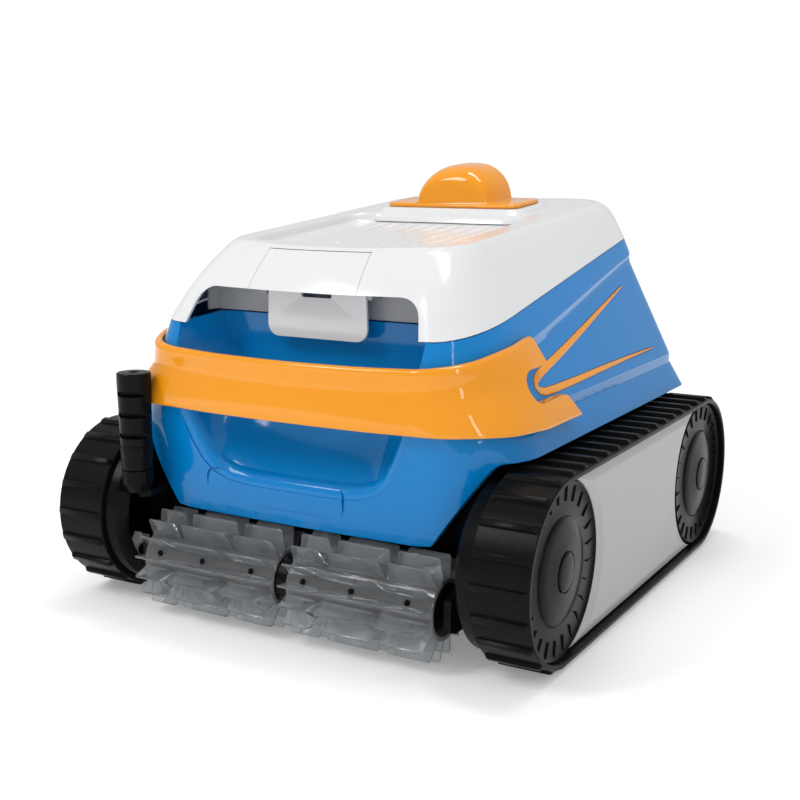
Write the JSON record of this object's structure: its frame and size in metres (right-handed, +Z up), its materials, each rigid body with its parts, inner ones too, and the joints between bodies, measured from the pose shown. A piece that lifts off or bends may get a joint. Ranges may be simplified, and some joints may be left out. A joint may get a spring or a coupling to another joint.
{
  "type": "pool cleaner",
  "caption": "Tracked robotic pool cleaner with hinged lid, carry handle, outlet hood, roller brushes, filter basket, pump and geared wheels in two rubber tracks.",
  "frame": {"origin": "on the floor under the tracks, at the middle of the overall length and width", "axes": "+Z up, -Y to the front where the brushes and the handle are, +X to the right seen from the front"},
  "size_m": [0.43, 0.4772, 0.3615],
  "materials": {
    "blue": "moulded gloss blue",
    "orange": "moulded gloss orange",
    "white": "moulded gloss white",
    "steel": "turned stainless steel",
    "rubber": "soft black rubber",
    "smoke": "flexible smoky grey PVC",
    "grey": "satin pale grey plastic",
    "dark_grey": "satin dark grey plastic",
    "mesh": "fine woven polyester mesh",
    "black": "satin black plastic"
  },
  "bodies": {
    "chassis": {"axle_front_left": "steel", "axle_front_right": "steel", "axle_rear_left": "steel", "axle_rear_right": "steel", "body_shell": "blue", "brush_support": "black", "cable_boot": "rubber", "cable_gland": "black", "carry_handle": "orange", "chassis_tray": "black", "filter_basket": "dark_grey", "filter_cover": "dark_grey", "filter_handle": "orange", "filter_mesh": "mesh", "flap_pin_left": "steel", "flap_pin_right": "steel", "front_beam": "black", "hinge_bracket_left": "black", "hinge_bracket_right": "black", "hinge_pin_left": "steel", "hinge_pin_right": "steel", "latch_catch": "black", "motor_block": "dark_grey", "motor_cover": "dark_grey", "motor_seal": "rubber", "pump_duct": "black", "side_cover_left": "grey", "side_cover_right": "grey", "side_frame_left": "black", "side_frame_right": "black", "stripe_left": "orange", "stripe_right": "orange", "track_belt_left": "rubber", "track_belt_right": "rubber"},
    "lid": {"lid": "white", "badge_panel": "white", "lid_inner_wall": "dark_grey", "latch_pin": "steel", "latch_spring": "steel", "outlet_grille": "black", "outlet_hood": "orange"},
    "latch": {"latch_tongue": "white"},
    "impeller": {"impeller": "black"},
    "wheel_front_left": {"wheel_front_left": "black"},
    "wheel_rear_left": {"wheel_rear_left": "black"},
    "brush_left": {"brush_core_left": "black", "brush_sleeve_left": "smoke", "brush_gear_left": "white"},
    "drive_gear_left": {"drive_gear_left": "steel"},
    "inlet_flap_left": {"inlet_flap_left": "black"},
    "wheel_front_right": {"wheel_front_right": "black"},
    "wheel_rear_right": {"wheel_rear_right": "black"},
    "brush_right": {"brush_core_right": "black", "brush_sleeve_right": "smoke", "brush_gear_right": "white"},
    "drive_gear_right": {"drive_gear_right": "steel"},
    "inlet_flap_right": {"inlet_flap_right": "black"}
  },
  "joints": [
    {"name": "lid_hinge", "type": "hinge", "parent": "chassis", "child": "lid", "pos_m": [0, 0.21579, 0.291], "axis": [-1, 0, 0], "range_deg": [0, 80]},
    {"name": "latch_pivot", "type": "hinge", "parent": "lid", "child": "latch", "pos_m": [0, -0.16021, 0.266], "axis": [-1, 0, 0], "range_deg": [0, 15], "stiffness_Nm_per_rad": 0.05, "springref_deg": -5.73},
    {"name": "impeller_spin", "type": "hinge", "parent": "chassis", "child": "impeller", "pos_m": [0, 0.08279, 0.2], "axis": [0, 0, 1], "continuous": true},
    {"name": "wheel_front_left_spin", "type": "hinge", "parent": "chassis", "child": "wheel_front_left", "pos_m": [0, -0.16321, 0.0738], "axis": [1, 0, 0], "continuous": true},
    {"name": "wheel_rear_left_spin", "type": "hinge", "parent": "chassis", "child": "wheel_rear_left", "pos_m": [0, 0.16479, 0.0738], "axis": [1, 0, 0], "continuous": true},
    {"name": "drive_gear_left_spin", "type": "hinge", "parent": "chassis", "child": "drive_gear_left", "pos_m": [0, 0.11759, 0.0738], "axis": [1, 0, 0], "continuous": true},
    {"name": "brush_left_spin", "type": "hinge", "parent": "chassis", "child": "brush_left", "pos_m": [0, -0.19809, 0.042], "axis": [1, 0, 0], "continuous": true},
    {"name": "inlet_flap_left_hinge", "type": "hinge", "parent": "chassis", "child": "inlet_flap_left", "pos_m": [0, -0.04221, 0.034], "axis": [-1, 0, 0], "range_deg": [0, 45]},
    {"name": "wheel_front_right_spin", "type": "hinge", "parent": "chassis", "child": "wheel_front_right", "pos_m": [0, -0.16321, 0.0738], "axis": [1, 0, 0], "continuous": true},
    {"name": "wheel_rear_right_spin", "type": "hinge", "parent": "chassis", "child": "wheel_rear_right", "pos_m": [0, 0.16479, 0.0738], "axis": [1, 0, 0], "continuous": true},
    {"name": "drive_gear_right_spin", "type": "hinge", "parent": "chassis", "child": "drive_gear_right", "pos_m": [0, 0.11759, 0.0738], "axis": [1, 0, 0], "continuous": true},
    {"name": "brush_right_spin", "type": "hinge", "parent": "chassis", "child": "brush_right", "pos_m": [0, -0.19809, 0.042], "axis": [1, 0, 0], "continuous": true},
    {"name": "inlet_flap_right_hinge", "type": "hinge", "parent": "chassis", "child": "inlet_flap_right", "pos_m": [0, -0.04221, 0.034], "axis": [-1, 0, 0], "range_deg": [0, 45]}
  ],
  "couplings": [
    {"joint": "wheel_rear_left_spin", "follows": "wheel_front_left_spin", "ratio": 1},
    {"joint": "drive_gear_left_spin", "follows": "wheel_front_left_spin", "ratio": 5},
    {"joint": "brush_left_spin", "follows": "wheel_front_left_spin", "ratio": 5},
    {"joint": "wheel_rear_right_spin", "follows": "wheel_front_right_spin", "ratio": 1},
    {"joint": "drive_gear_right_spin", "follows": "wheel_front_right_spin", "ratio": 5},
    {"joint": "brush_right_spin", "follows": "wheel_front_right_spin", "ratio": 5}
  ]
}
